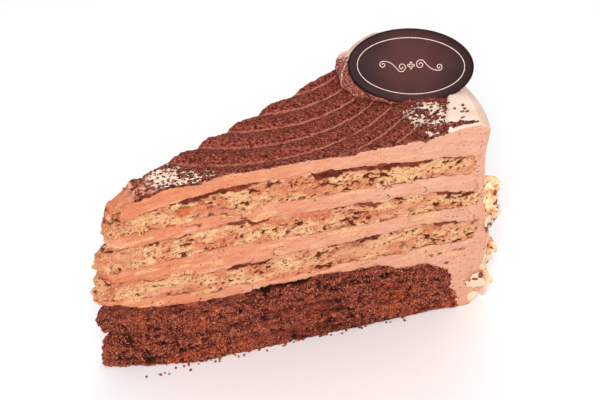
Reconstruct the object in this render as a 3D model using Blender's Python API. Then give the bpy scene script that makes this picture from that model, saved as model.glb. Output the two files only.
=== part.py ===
"""A slice of chocolate cream layer cake, standing upright as it is served.

A dark chocolate sponge carries three light nut sponges with chocolate cream between them. One coat of
the same cream covers the top and the rim. Its top is combed into curved ridges, and nut flakes are
pressed into its rim. A piped rosette stands near the rim, and an oval chocolate plaque leans on it.

Modelling frame: the two cuts meet at x = 0, the slice runs along +X to the rim, the floor is z = 0.
Last, everything is moved so that the middle of its box stands over the origin.
"""
import math

import bmesh
import bpy
import numpy as np
from mathutils import Matrix

MM = 0.001

# The whole slice: one thirteenth of a round cake about 240 mm across
WEDGE_ANGLE = math.radians(27.5)
HEIGHT = 70.5 * MM
GAP = 0.35 * MM

# The blunt tip: it stands back from the front cut at the bottom, and the knife has drawn it out
NOSE_RADIUS = 3.6 * MM
TIP_LEAN = 8.5 * MM
BASE_NOSE_UNDERCUT = 3.2 * MM
LEAN_LENGTH = 28 * MM
NOSE_BULGE = 0.7 * MM
TIP_DROP = 8.0 * MM
TIP_DROP_LENGTH = 5.5 * MM

# The rim, as distances from the tip along the cut: the rim bows out between the two cuts
RIM_BOW = 8.0 * MM
COAT_INSIDE = ((0, 115.2), (8, 112.2), (14, 109.8), (20, 110.0), (26.5, 117.5), (38, 118.2), (50, 115.8),
               (62, 113.6))
COAT_OUTSIDE = ((0, 118.0), (3, 121.2), (16, 122.2), (30, 123.0), (38, 121.8), (46, 119.2), (62, 118.2),
                (69, 119.2), (71.8, 118.6), (73, 116.6))
LIP_ROUND = 1.2 * MM
COAT_NOSE_X = -2.4 * MM
RIM_RAISE = 2.3 * MM
RIM_RAISE_START = 98 * MM
RIM_RAISE_END = 108 * MM

# Heights of the layer boundaries in mm at four stations, from the tip to the rim
RIM_X = 108 * MM
STATION = RIM_X / 3
BOUNDARIES = {
    "base_top": (28.6, 25.2, 25.0, 17.0),
    "sponge_1_bottom": (31.4, 27.8, 27.6, 28.0),
    "sponge_1_top": (39.6, 36.4, 37.6, 36.2),
    "sponge_2_bottom": (44.0, 43.6, 42.6, 42.4),
    "sponge_2_top": (52.0, 52.6, 51.2, 48.2),
    "sponge_3_bottom": (57.2, 56.6, 56.5, 54.8),
    "sponge_3_top": (62.0, 66.4, 64.8, 61.0),
}

# How far each layer reaches beyond the tip, in mm, from the floor up, and how proud of the cuts it stands
BASE_NOSE_X = -4.6 * MM
NOSES = {"filling_1": -4.8, "sponge_1": -5.6, "filling_2": -3.8, "sponge_2": -5.2, "filling_3": -2.2,
         "sponge_3": -3.4}
BASE_PROUD = 0.2 * MM
SPONGE_PROUD = 0.3 * MM
FILLING_SHRUNK = 0.2 * MM

# The comb's ridges on top: arcs round a pivot beyond the back cut, one ridge for each turn
COMB_PIVOT = (91 * MM, 46 * MM)
COMB_SPACING = 6.5 * MM
COMB_DRIFT = 15.9 * MM
COMB_FIRST = 14.6
COMB_DEPTH = 2.0 * MM
COMB_SLANT = 0.6
COMB_MIDDLE = 0.55
COMB_START, COMB_FULL = 14 * MM, 30 * MM
COMB_FADE, COMB_END = 100 * MM, 107 * MM

# Rosette: a low spiral dome of piped cream
ROSETTE_CENTRE = (104.6 * MM, 11.3 * MM)
ROSETTE_PROFILE = ((0, 15.0), (1.6, 16.3), (3.4, 15.9), (5.4, 14.0), (7.6, 12.2), (9.6, 10.2), (11.2, 7.4),
                   (12.2, 4.0))
ROSETTE_TOP = 12.8 * MM
ROSETTE_BED = (13 * MM, 18 * MM)
ROSETTE_FLUTES = 7
ROSETTE_FLUTE_DEPTH = 0.16
ROSETTE_FLUTE_MIDDLE = 0.75
ROSETTE_TWIST = math.radians(60)
ROSETTE_FIRST_LOBE = math.radians(-170)

# Plaque: an oval of dark chocolate, its foot in the cream and its back on the rosette
PLAQUE_FOOT = (102.4 * MM, -4.7 * MM)
PLAQUE_HALF_LENGTH = 19.8 * MM
PLAQUE_HALF_HEIGHT = 11.8 * MM
PLAQUE_THICKNESS = 2.4 * MM
PLAQUE_BEVEL = 0.45 * MM
PLAQUE_TURN = math.radians(-33.2)
PLAQUE_LEAN = math.radians(36.5)
PLAQUE_SINK = 1.0 * MM
CLEARED_FORWARD = 20 * MM

# Nut flakes on the lower rim. The corner flakes give height in mm, place across the rim and tilt
FLAKE_SEED = 10
FLAKE_COUNT = 54
FLAKE_SIDES = 7
FLAKE_LENGTH = (2.4 * MM, 4.2 * MM)
CORNER_FLAKE_LENGTH = 4.6 * MM
CORNER_FLAKE_OUT = 0.2 * MM
FLAKE_THICKNESS = 0.9 * MM
FLAKE_NARROW = 0.7
FLAKE_BEND = 16 * MM
FLAKE_SUNK = 0.45 * MM
FLAKE_TAPER = 0.85
FLAKE_APART = 4.6 * MM
FLAKE_ACROSS = (-0.86, 0.93)
RIM_HALF_WIDTH = 28 * MM
FLAKE_TILT = 0.4
FLAKE_LOWEST, FLAKE_HIGHEST = 5 * MM, 47 * MM
CORNER_FLAKES = ((45, -0.97, 0.7), (39, -0.9, 0.9), (41.5, -1.0, 0.6), (34, -0.95, -0.8), (10, -0.96, 0.8),
                 (5.5, -0.9, 0.5), (15.5, -0.93, -0.7), (24, -0.97, 0.4))


def material(name, colour, roughness):
    """A plain Principled material."""
    made = bpy.data.materials.new(name)
    made.use_nodes = True
    shader = made.node_tree.nodes["Principled BSDF"]
    shader.inputs["Base Color"].default_value = (*colour, 1)
    shader.inputs["Roughness"].default_value = roughness
    shader.inputs["Metallic"].default_value = 0
    return made


def solid(name, points, faces, look):
    """One object from points and faces, with its normals made to face outwards."""
    mesh = bpy.data.meshes.new(name)
    bm = bmesh.new()
    corners = [bm.verts.new(point) for point in points]
    for face in faces:
        bm.faces.new([corners[i] for i in face])
    bmesh.ops.recalc_face_normals(bm, faces=bm.faces)
    if bm.calc_volume(signed=True) < 0:
        bmesh.ops.reverse_faces(bm, faces=bm.faces)
    bm.to_mesh(mesh)
    bm.free()
    mesh.materials.append(look)
    made = bpy.data.objects.new(name, mesh)
    bpy.context.scene.collection.objects.link(made)
    return made


def boundary_height(name, x):
    """A layer boundary: the cubic through its heights at the four stations, by Newton's differences."""
    steps = x / STATION
    heights = np.array(BOUNDARIES[name]) * MM
    once, twice, thrice = np.diff(heights)[0], np.diff(heights, 2)[0], np.diff(heights, 3)[0]
    return (heights[0] + once * steps + twice * steps * (steps - 1) / 2
            + thrice * steps * (steps - 1) * (steps - 2) / 6)


def along_profile(profile, z):
    """The distance from the tip that a rim profile gives at height z."""
    heights, reaches = np.array(profile).T * MM
    return np.interp(z, heights, reaches)


def plan(u, t, z, nose_x, reach, proud=0.0):
    """The place of a point: u runs from tip to rim, t from the front cut (-1) to the back cut (1)."""
    nose = nose_x + NOSE_RADIUS * (1 - np.sqrt(1 - t * t))
    rim = reach * math.cos(WEDGE_ANGLE / 2) + RIM_BOW * (1 - t * t)
    x = nose + (rim - nose) * u
    half_width = np.hypot(np.maximum(x, 0) * math.tan(WEDGE_ANGLE / 2), NOSE_RADIUS) + proud
    lean = TIP_LEAN * np.clip(1 - z / HEIGHT, 0, 1) ** 1.6 * np.clip(1 - x / LEAN_LENGTH, 0, 1) ** 1.5
    return x, t * half_width + lean


def smooth_step(x, start, end):
    """Rises smoothly from 0 at start to 1 at end."""
    part = np.clip((x - start) / (end - start), 0, 1)
    return part * part * (3 - 2 * part)


def top_height(x, y):
    """The top of the cream: level, down to the tip, up to the rim, with the comb's scalloped ridges."""
    level = HEIGHT - TIP_DROP * np.exp(-np.maximum(x - COAT_NOSE_X, 0) / TIP_DROP_LENGTH)
    level = level + RIM_RAISE * smooth_step(x, RIM_RAISE_START, RIM_RAISE_END)
    turns = COMB_FIRST - np.hypot(x - COMB_PIVOT[0], y - COMB_PIVOT[1]) / COMB_SPACING - x / COMB_DRIFT
    ridge = np.sin(math.pi * (turns - np.floor(turns)) ** COMB_SLANT)
    from_rosette = np.hypot(x - ROSETTE_CENTRE[0], y - ROSETTE_CENTRE[1])
    depth = COMB_DEPTH * smooth_step(x, COMB_START, COMB_FULL) * (1 - smooth_step(x, COMB_FADE, COMB_END))
    depth = depth * smooth_step(from_rosette, *ROSETTE_BED)
    return level + depth * (ridge - COMB_MIDDLE)


def zip_chains(first, second, first_at, second_at):
    """Triangles between two chains of point numbers, walked side by side by their parameters."""
    faces, i, j = [], 0, 0
    while i < len(first) - 1 or j < len(second) - 1:
        step_first = j == len(second) - 1 or (i < len(first) - 1 and first_at[i + 1] <= second_at[j + 1])
        if step_first:
            faces.append((first[i], first[i + 1], second[j]))
            i += 1
        else:
            faces.append((first[i], second[j + 1], second[j]))
            j += 1
    return faces


def loft_across(name, loops, outer_at, inner_at, look):
    """A closed solid from one loop of points for each column across the slice.

    A loop is an outer chain, then an inner chain run backwards. The two end columns are closed by
    triangles between their chains, matched by the parameters outer_at and inner_at.
    """
    columns, count = loops.shape[0], loops.shape[1]
    faces = []
    for column in range(columns - 1):
        here, there = column * count, (column + 1) * count
        for i in range(count):
            after = (i + 1) % count
            faces.append((here + i, here + after, there + after, there + i))
    outer = list(range(len(outer_at)))
    inner = list(range(count - 1, len(outer_at) - 1, -1))
    for start in (0, (columns - 1) * count):
        chains = [start + i for i in outer], [start + i for i in inner]
        faces += zip_chains(*chains, outer_at, inner_at)
    return solid(name, loops.reshape(-1, 3), faces, look)


def inside_end(height, t, beyond):
    """Where a layer boundary meets the inside of the coat: its distance from the tip, by trial and correction."""
    reach = RIM_X
    for _ in range(5):
        x = reach * math.cos(WEDGE_ANGLE / 2) + RIM_BOW * (1 - t * t)
        reach = along_profile(COAT_INSIDE, height(x)) + beyond
    return float(reach)


def layer(name, low, high, nose_x, proud, look, undercut=0.0, rows=13, columns=6, end_levels=7):
    """A sponge or a filling from cut to cut, ending inside the coat."""
    u = np.linspace(0, 1, rows)
    across = np.sin(np.linspace(-math.pi / 2, math.pi / 2, columns + 1))
    loops = []
    for t in across:
        chains = {}
        for side, height in (("low", low), ("high", high)):
            reach = inside_end(height, t, -GAP)
            nose = nose_x + (undercut if side == "low" else 0)
            x, _ = plan(u, t, 0, nose, reach)
            z = height(x)
            _, y = plan(u, t, z, nose, reach, proud)
            chains[side] = np.stack([x, y, z], -1)
        nose_middle = (chains["low"][0] + chains["high"][0]) / 2
        nose_middle = nose_middle - (undercut / 2 + NOSE_BULGE * (1 - t * t), 0, 0)
        levels = np.linspace(chains["high"][-1][2], chains["low"][-1][2], end_levels + 2)[1:-1]
        ends = []
        for z in levels:
            x, y = plan(1.0, t, z, nose_x, along_profile(COAT_INSIDE, z) - GAP, proud)
            ends.append((x, y, z))
        loops.append(np.concatenate([nose_middle[None], chains["high"], ends, chains["low"][::-1]]))
    outer_at = np.concatenate([[-1], u, np.linspace(1, 2, end_levels + 2)[1:-1]])
    return loft_across(name, np.array(loops), outer_at, u, look)


def build_layers():
    """The dark base, three light sponges and the three fillings, from the floor up."""
    dark = material("dark_sponge", (0.16, 0.055, 0.028), 0.9)
    light = material("light_sponge", (0.72, 0.42, 0.2), 0.9)
    cream = material("cream_filling", (0.72, 0.36, 0.22), 0.55)
    names = list(BOUNDARIES)

    def lower(boundary):
        return lambda x: boundary_height(boundary, x) - GAP / 2

    def upper(boundary):
        return lambda x: boundary_height(boundary, x) + GAP / 2

    layer("sponge_base", lambda x: 0 * x, lower("base_top"), BASE_NOSE_X, BASE_PROUD, dark, BASE_NOSE_UNDERCUT)
    for (piece, nose_x), below, above in zip(NOSES.items(), names, names[1:]):
        is_sponge = piece.startswith("sponge")
        proud = SPONGE_PROUD if is_sponge else -FILLING_SHRUNK
        look = light if is_sponge else cream
        layer(piece, upper(below), lower(above), nose_x * MM, proud, look)


def build_coat(look, top_rows=46, under_rows=13, columns=24):
    """The cream on the top and down the rim, one solid, open underneath where the layers stand."""
    top_u = np.linspace(0, 1, top_rows)
    under_u = np.linspace(0, 1, under_rows)
    wall_z = np.array([height * MM for height, _ in COAT_OUTSIDE[::-1]])
    inside_z = np.array([height * MM for height, _ in COAT_INSIDE[-2::-1]])
    lip_reach = along_profile(COAT_OUTSIDE, wall_z[0]) - LIP_ROUND

    def under_height(x):
        return boundary_height("sponge_3_top", x) + GAP / 2

    loops = []
    for t in np.linspace(-1, 1, columns + 1):
        x, y = plan(top_u, t, HEIGHT, COAT_NOSE_X, lip_reach)
        chain = [np.stack([x, y, top_height(x, y)], -1)]
        for z in wall_z:
            x, y = plan(1.0, t, z, COAT_NOSE_X, along_profile(COAT_OUTSIDE, z))
            chain.append(np.array([[x, y, z]]))
        for z in inside_z[::-1]:
            x, y = plan(1.0, t, z, COAT_NOSE_X, along_profile(COAT_INSIDE, z) + GAP)
            chain.append(np.array([[x, y, z]]))
        reach = inside_end(under_height, t, GAP)
        x, _ = plan(under_u, t, 0, COAT_NOSE_X, reach)
        z = under_height(x)
        _, y = plan(under_u, t, z, COAT_NOSE_X, reach)
        chain.append(np.stack([x, y, z], -1)[::-1])
        loops.append(np.concatenate(chain))
    outer_at = np.concatenate([top_u, 1 + np.linspace(0.05, 1, len(wall_z))])
    inner_at = np.concatenate([under_u, 1 + np.linspace(0.1, 1, len(inside_z))])
    return loft_across("cream_coat", np.array(loops), outer_at, inner_at, look)


def flake(random, look, length):
    """One nut flake: a thin seven-sided disc of uneven outline, curved like a shaving."""
    angles = np.linspace(0, 2 * math.pi, FLAKE_SIDES, endpoint=False) + random.uniform(0, 1)
    radius = length * random.uniform(0.8, 1.1, FLAKE_SIDES)
    x = radius * np.cos(angles)
    y = FLAKE_NARROW * radius * np.sin(angles)
    bend = x * x / FLAKE_BEND
    low = np.stack([x, y, bend], -1)
    high = np.stack([x * FLAKE_TAPER, y * FLAKE_TAPER, bend + FLAKE_THICKNESS], -1)
    faces = [tuple(range(FLAKE_SIDES)), tuple(range(2 * FLAKE_SIDES - 1, FLAKE_SIDES - 1, -1))]
    for i in range(FLAKE_SIDES):
        after = (i + 1) % FLAKE_SIDES
        faces.append((i, after, FLAKE_SIDES + after, FLAKE_SIDES + i))
    return solid("flake", np.concatenate([low, high]), faces, look)


def flake_places(random):
    """Height, place across the rim, tilt, length and depth in the cream: the corner flakes, then the rest."""
    places = [(z * MM, t, tilt, CORNER_FLAKE_LENGTH, -CORNER_FLAKE_OUT) for z, t, tilt in CORNER_FLAKES]
    while len(places) < FLAKE_COUNT:
        t = random.uniform(*FLAKE_ACROSS)
        z = random.uniform(FLAKE_LOWEST, FLAKE_HIGHEST)
        if all(math.hypot((t - other[1]) * RIM_HALF_WIDTH, z - other[0]) > FLAKE_APART for other in places):
            tilt = random.uniform(-FLAKE_TILT, FLAKE_TILT)
            places.append((z, t, tilt, random.uniform(*FLAKE_LENGTH), FLAKE_SUNK))
    return places


def build_nuts(coat, look):
    """Flakes spread over the lower rim, a few larger ones standing out at the front cut, fused to the coat."""
    random = np.random.default_rng(FLAKE_SEED)
    flakes = bpy.data.collections.new("flakes")
    bpy.context.scene.collection.children.link(flakes)
    for z, t, tilt, length, sunk in flake_places(random):
        x, y = plan(1.0, t, z, 0, along_profile(COAT_OUTSIDE, z) - sunk)
        facing = math.atan2(2 * RIM_BOW * t, RIM_HALF_WIDTH)
        turn = (Matrix.Rotation(facing, 4, "Z") @ Matrix.Rotation(tilt, 4, "Z")
                @ Matrix.Rotation(math.pi / 2, 4, "Y") @ Matrix.Rotation(random.uniform(0, math.tau), 4, "Z"))
        piece = flake(random, look, length)
        piece.data.transform(Matrix.Translation((x, y, z)) @ turn)
        bpy.context.scene.collection.objects.unlink(piece)
        flakes.objects.link(piece)
    join = coat.modifiers.new("Fuse flakes", "BOOLEAN")
    join.operation = "UNION"
    join.operand_type = "COLLECTION"
    join.collection = flakes
    join.solver = "MANIFOLD"
    with bpy.context.temp_override(object=coat):
        bpy.ops.object.modifier_apply(modifier=join.name)
    for piece in list(flakes.objects):
        bpy.data.objects.remove(piece)
    bpy.data.collections.remove(flakes)


def build_rosette(look, rings=9, around=42):
    """A dome with flutes that wind upwards. Its foot follows the cream that it was piped on."""
    heights, radii = np.array(ROSETTE_PROFILE).T * MM
    z = np.linspace(0, heights[-1], rings)
    angle = np.linspace(0, math.tau, around, endpoint=False)
    phase = ROSETTE_FLUTES * (angle[None] - ROSETTE_FIRST_LOBE + ROSETTE_TWIST * (z / heights[-1])[:, None])
    radius = np.interp(z, heights, radii)[:, None]
    radius = radius * (1 + ROSETTE_FLUTE_DEPTH * (np.abs(np.cos(phase / 2)) - ROSETTE_FLUTE_MIDDLE))
    foot_radius = radius[:1] * np.array([[0.35], [0.7]])
    radius = np.concatenate([foot_radius, radius])
    lift = np.concatenate([[0, 0], z])[:, None]
    x = ROSETTE_CENTRE[0] + radius * np.cos(angle)
    y = ROSETTE_CENTRE[1] + radius * np.sin(angle)
    points = np.stack([x, y, top_height(x, y) + GAP + lift], -1).reshape(-1, 3)
    foot = float(top_height(*ROSETTE_CENTRE)) + GAP
    points = np.concatenate([points, [(*ROSETTE_CENTRE, foot), (*ROSETTE_CENTRE, foot + ROSETTE_TOP)]])
    faces, levels = [], rings + 2
    for i in range(around):
        after = (i + 1) % around
        for ring in range(levels - 1):
            low, high = ring * around, (ring + 1) * around
            faces.append((low + i, low + after, high + after, high + i))
        faces.append((after, i, levels * around))
        last = (levels - 1) * around
        faces.append((last + i, last + after, levels * around + 1))
    return solid("rosette", points, faces, look)


def plaque_place():
    """From the plaque's own frame (x along it, y up it, z out of its face) to the slice."""
    foot_z = float(top_height(*PLAQUE_FOOT)) - PLAQUE_SINK
    stand = Matrix.Rotation(math.pi / 2 - PLAQUE_LEAN, 4, "X")
    up = Matrix.Rotation(PLAQUE_TURN, 4, "Z") @ stand
    return Matrix.Translation((*PLAQUE_FOOT, foot_z)) @ up @ Matrix.Translation((0, PLAQUE_HALF_HEIGHT, 0))


def build_plaque(name, look, grow=0.0, forward=0.0, around=56):
    """An oval plate with its edges broken by a small bevel; grown, and drawn forward, it is a cutter."""
    angle = np.linspace(0, math.tau, around, endpoint=False)
    edge = PLAQUE_BEVEL
    back, front = -PLAQUE_THICKNESS - grow, grow + forward
    levels = ((back, edge), (back + edge, 0), (front - edge, 0), (front, edge))
    points = []
    for z, inset in levels:
        points.append(np.stack([(PLAQUE_HALF_LENGTH + grow - inset) * np.cos(angle),
                                (PLAQUE_HALF_HEIGHT + grow - inset) * np.sin(angle),
                                0 * angle + z], -1))
    faces = [tuple(range(around)), tuple(range(4 * around - 1, 3 * around - 1, -1))]
    for level in range(3):
        for i in range(around):
            after = (i + 1) % around
            low, high = level * around, (level + 1) * around
            faces.append((low + i, low + after, high + after, high + i))
    made = solid(name, np.concatenate(points), faces, look)
    made.data.transform(plaque_place())
    return made


def cut(target, cutter):
    """Takes the cutter out of the target, for good."""
    taken = target.modifiers.new("Cut", "BOOLEAN")
    taken.operation = "DIFFERENCE"
    taken.object = cutter
    taken.solver = "EXACT"
    with bpy.context.temp_override(object=target):
        bpy.ops.object.modifier_apply(modifier=taken.name)


def stand_on_origin():
    """Moves every mesh so that the middle of the whole box stands over the origin, on z = 0."""
    pieces = [piece for piece in bpy.context.scene.collection.objects if piece.type == "MESH"]
    corners = np.array([vertex.co for piece in pieces for vertex in piece.data.vertices])
    low, high = corners.min(0), corners.max(0)
    move = Matrix.Translation((-(low[0] + high[0]) / 2, -(low[1] + high[1]) / 2, -low[2]))
    for piece in pieces:
        piece.data.transform(move)


def main():
    for old in list(bpy.data.objects):
        bpy.data.objects.remove(old)
    cream = material("cream", (0.78, 0.42, 0.28), 0.5)
    cocoa_cream = material("rosette_cream", (0.3, 0.11, 0.06), 0.75)
    chocolate = material("plaque_chocolate", (0.045, 0.016, 0.014), 0.3)
    build_layers()
    coat = build_coat(cream)
    rosette = build_rosette(cocoa_cream)
    plaque = build_plaque("plaque", chocolate)
    for target, forward in ((rosette, CLEARED_FORWARD), (coat, 0)):
        press = build_plaque("plaque_press", chocolate, grow=GAP, forward=forward)
        cut(target, press)
        bpy.data.objects.remove(press)
    build_nuts(coat, cream)
    for round_piece in (rosette, plaque):
        round_piece.data.shade_smooth()
        round_piece.data.set_sharp_from_angle(angle=math.radians(35))
    stand_on_origin()


main()
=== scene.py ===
"""The looks of a slice of chocolate cream layer cake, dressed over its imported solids.

Lengths are in millimetres in the slice's own frame until a mesh is made: the two cuts would meet at
x = 0, y = 0, the slice runs along +X to its rim, y is negative at the front cut, and the floor is z = 0.
"""
import math
from itertools import product

import bpy
import numpy as np
from mathutils import Matrix, Vector


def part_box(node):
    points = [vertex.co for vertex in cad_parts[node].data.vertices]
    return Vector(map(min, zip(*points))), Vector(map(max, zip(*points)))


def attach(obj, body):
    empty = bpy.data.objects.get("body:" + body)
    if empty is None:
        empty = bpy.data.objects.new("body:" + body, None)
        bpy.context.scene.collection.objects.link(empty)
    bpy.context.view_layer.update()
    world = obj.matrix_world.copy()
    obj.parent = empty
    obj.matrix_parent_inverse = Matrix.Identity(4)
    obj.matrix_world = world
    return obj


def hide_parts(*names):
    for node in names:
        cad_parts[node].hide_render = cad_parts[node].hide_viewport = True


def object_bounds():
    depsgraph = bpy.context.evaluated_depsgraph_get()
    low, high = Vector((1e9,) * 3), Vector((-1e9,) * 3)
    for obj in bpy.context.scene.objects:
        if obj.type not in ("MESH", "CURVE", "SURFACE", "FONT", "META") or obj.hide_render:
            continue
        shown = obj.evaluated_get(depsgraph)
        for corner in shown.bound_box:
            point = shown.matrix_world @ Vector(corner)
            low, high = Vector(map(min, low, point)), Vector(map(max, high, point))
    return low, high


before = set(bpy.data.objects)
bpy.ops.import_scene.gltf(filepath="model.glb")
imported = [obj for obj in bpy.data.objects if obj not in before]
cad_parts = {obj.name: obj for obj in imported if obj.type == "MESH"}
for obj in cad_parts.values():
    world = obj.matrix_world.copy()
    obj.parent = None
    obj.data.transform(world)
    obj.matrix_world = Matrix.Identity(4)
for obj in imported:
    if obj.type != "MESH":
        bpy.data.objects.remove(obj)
cad_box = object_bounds()


# Dark sponge base: one sheet of coarse, open chocolate crumb under the whole slice. It was baked flat
# and cut with a long knife, which tore the crumb open and broke its tip away in lumps.
MM = 0.001
HALF_ANGLE = math.radians(27.5 / 2)
CUT_SLOPE = math.tan(HALF_ANGLE)
CUT_LENGTH = 122
CAKE_HEIGHT = 70.5
NOSE_RADIUS = 3.6
TIP_X = -5
TIP_LEAN = 8.5
LEAN_LENGTH = 28
RIM_BOW = 8.0
RIM_X = 108
SLICE_MIDDLE = (66.0, 0.0)
MIDWAY = (60.0, 0.0)
NOTCH_HEIGHT = 14
# The coat's inner face at the rim: heights, and how far along the cuts it reaches there.
COAT_INSIDE = ((0, 115.2), (8, 112.2), (14, 109.8), (20, 110.0), (26.5, 117.5), (38, 118.2), (50, 115.8),
               (62, 113.6))
UNDER_COAT = 2.4
# The heights of each boundary between layers, at even steps of x from 0 to RIM_X.
BOUNDARIES = {
    "base_top": (28.6, 25.2, 25.0, 17.0),
    "sponge_1_bottom": (31.4, 27.8, 27.6, 28.0),
    "sponge_1_top": (39.6, 36.4, 37.6, 36.2),
    "sponge_2_bottom": (44.0, 43.6, 42.6, 42.4),
    "sponge_2_top": (52.0, 52.6, 51.2, 48.2),
    "sponge_3_bottom": (57.2, 56.6, 56.5, 54.8),
    "sponge_3_top": (62.0, 66.4, 64.8, 61.0),
}
SPONGE_1_NOSE = -6.3
sponge_3_low, sponge_3_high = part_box("sponge_3")
TIP_PLACE = np.array([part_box("sponge_1")[0].x / MM - SPONGE_1_NOSE,
                      (sponge_3_low.y + sponge_3_high.y) / 2 / MM, 0])


def plan(u, t, z, nose_x, reach):
    """A place on the slice: u runs from tip to rim and t from the front cut, -1, to the back cut, 1. The
    nose is round, the rim bows out, and near the tip the slice leans back towards its foot."""
    nose = nose_x + NOSE_RADIUS * (1 - np.sqrt(np.maximum(1 - t * t, 0)))
    rim = reach * math.cos(HALF_ANGLE) + RIM_BOW * (1 - t * t)
    x = nose + (rim - nose) * u
    half_width = np.hypot(np.maximum(x, 0) * CUT_SLOPE, NOSE_RADIUS)
    foot = np.clip(1 - z / CAKE_HEIGHT, 0, 1) ** 1.6
    return x, t * half_width + TIP_LEAN * foot * np.clip(1 - x / LEAN_LENGTH, 0, 1) ** 1.5


def xyz(x, y, z):
    """Points from their three coordinates, which are first spread to one shape."""
    return np.stack(np.broadcast_arrays(x, y, z), -1)


def raised(flat, height):
    """Points of a plane, lifted out of it to a height each."""
    return xyz(flat[..., 0], flat[..., 1], height)


def cell_value(cells, seed):
    """A repeatable number from 0 to 1 for each lattice cell: its indices and the seed, each times a large
    prime, mixed by shifts."""
    mixed = (cells[..., 0] * 73856093) ^ (cells[..., 1] * 19349663) ^ (cells[..., 2] * 83492791)
    mixed = (mixed ^ (seed * 2654435761)) & 0xFFFFFFFF
    for factor in (1274126177, 668265263):
        mixed = ((mixed ^ (mixed >> 15)) * factor) & 0xFFFFFFFF
    return ((mixed ^ (mixed >> 13)) & 0xFFFFFF) / 0xFFFFFF


def noise(points, size, seed, octaves=1):
    """Smooth noise from -1 to 1: numbers on a cubic lattice blended by quintic steps, each octave half the
    size and half the strength of the one before. size may be one length or one for each axis."""
    total, strength = 0.0, 0.0
    for octave in range(octaves):
        place = points * 2 ** octave / np.asarray(size, float)
        cell = np.floor(place).astype(np.int64)
        part = place - cell
        part = part ** 3 * (part * (part * 6 - 15) + 10)
        for corner in product((0, 1), repeat=3):
            weight = np.where(np.array(corner), part, 1 - part).prod(-1)
            total = total + (2 * cell_value(cell + corner, seed + octave) - 1) * weight / 2 ** octave
        strength += 1 / 2 ** octave
    return total / strength


def bent(points, size, amount, seed):
    """Each point moved about by noise in all three directions."""
    return points + amount * xyz(*[noise(points, size, seed + i) for i in range(3)])


def rise(value, low, high):
    """A smooth step from 0 at low to 1 at high, which may be the smaller of the two."""
    part = np.clip((value - low) / (high - low), 0, 1)
    return part * part * (3 - 2 * part)


def fading(value, start, length):
    """1 up to the start, then falling off exponentially over this length."""
    return np.exp(-np.maximum(value - start, 0) / length)


def balls(points, size, share, radii, seed):
    """How deep each point lies inside scattered balls, in mm: a share of the cells of a lattice hold one
    ball each, and chance sets its place in the cell and its radius, in cells, between the two radii."""
    place = points / np.asarray(size, float)
    cell = np.floor(place).astype(np.int64)
    deepest = np.zeros(points.shape[:-1])
    for shift in product((-1, 0, 1), repeat=3):
        near = cell + shift
        chance = xyz(*[cell_value(near, seed + i) for i in range(3)])
        radius = radii[0] + (radii[1] - radii[0]) * cell_value(near, seed + 3) ** 1.5
        away = np.linalg.norm(place - near - 0.15 - 0.7 * chance, axis=-1) / radius
        there = cell_value(near, seed + 4) < share
        deepest = np.maximum(deepest, there * radius * np.sqrt(np.clip(1 - away ** 2, 0, 1)))
    return deepest * np.min(size)


def boundary(name):
    """A layer's boundary as a function of place: a cubic through its four heights, with a waver."""
    once, twice, thrice = (np.diff(BOUNDARIES[name], n)[0] for n in (1, 2, 3))
    seed = 100 + list(BOUNDARIES).index(name)

    def height(x, y):
        """The cubic's height at x, from its finite differences, with noise in two sizes."""
        steps = x * 3 / RIM_X
        level = (BOUNDARIES[name][0] + once * steps + twice * steps * (steps - 1) / 2
                 + thrice * steps * (steps - 1) * (steps - 2) / 6)
        flat = xyz(x, y, 0)
        return level + 0.9 * noise(flat, 9, seed) + 0.8 * noise(flat, 2.6, seed + 20, 3)

    return height


def floor_level(x, y):
    """The underside's boundary: height 0 at every place."""
    return 0 * x


def coat_reach(z):
    """How far along the cuts the coat's inner face reaches at height z."""
    return np.interp(z, *np.array(COAT_INSIDE).T)


def trip_round(step, nose_steps=48, rim_steps=16):
    """u and t along one trip round the slice: in along the front cut, round the nose, out along the back
    cut in longer steps, and across the rim."""
    front = np.linspace(1, 0, int(CUT_LENGTH / step), endpoint=False)
    bend = np.sin(np.linspace(-math.pi / 2, math.pi / 2, nose_steps, endpoint=False))
    back = np.linspace(0, 1, int(CUT_LENGTH / (1.4 * step)), endpoint=False)
    across = np.linspace(1, -1, rim_steps, endpoint=False)
    u = np.concatenate([front, 0 * bend, back, 0 * across + 1])
    t = np.concatenate([0 * front - 1, bend, 0 * back + 1, across])
    return u, t


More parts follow.
